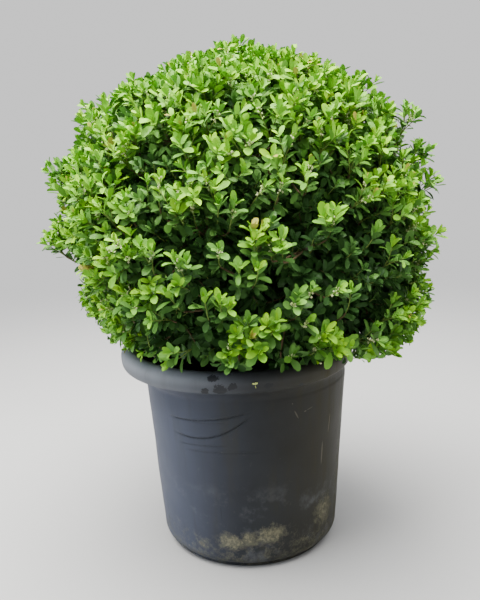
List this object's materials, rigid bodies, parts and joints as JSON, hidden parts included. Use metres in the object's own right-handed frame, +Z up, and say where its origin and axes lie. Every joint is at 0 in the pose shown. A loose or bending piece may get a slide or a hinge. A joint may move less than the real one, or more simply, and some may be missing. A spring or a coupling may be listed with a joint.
{
  "type": "potted japanese holly ball",
  "caption": "Evergreen holly clipped to a ball of small glossy leaves on a short hidden stem, filling a round charcoal plastic nursery pot with a rolled rim",
  "frame": {"origin": "centre of the flat underside of the pot", "axes": "+Z up along the pot and the ball; -Y faces the viewer; the rim stands off towards -X"},
  "size_m": [0.5636, 0.5717, 0.7396],
  "materials": {
    "pot": "matt moulded charcoal plastic, scuffed and splashed with dried mud",
    "compost": "dark crumbly potting compost",
    "bark": "grey-brown bark with fine furrows",
    "foliage": "small glossy leaves, bright yellow-green outside and dark green within"
  },
  "bodies": {
    "root": {"pot": "pot", "soil": "compost", "stem": "bark", "bough_top": "bark", "bough_side_1": "bark", "bough_side_2": "bark", "bough_side_3": "bark", "bough_side_4": "bark", "bough_side_5": "bark", "foliage_top": "foliage", "foliage_side_1": "foliage", "foliage_side_2": "foliage", "foliage_side_3": "foliage", "foliage_side_4": "foliage", "foliage_side_5": "foliage"}
  },
  "joints": []
}
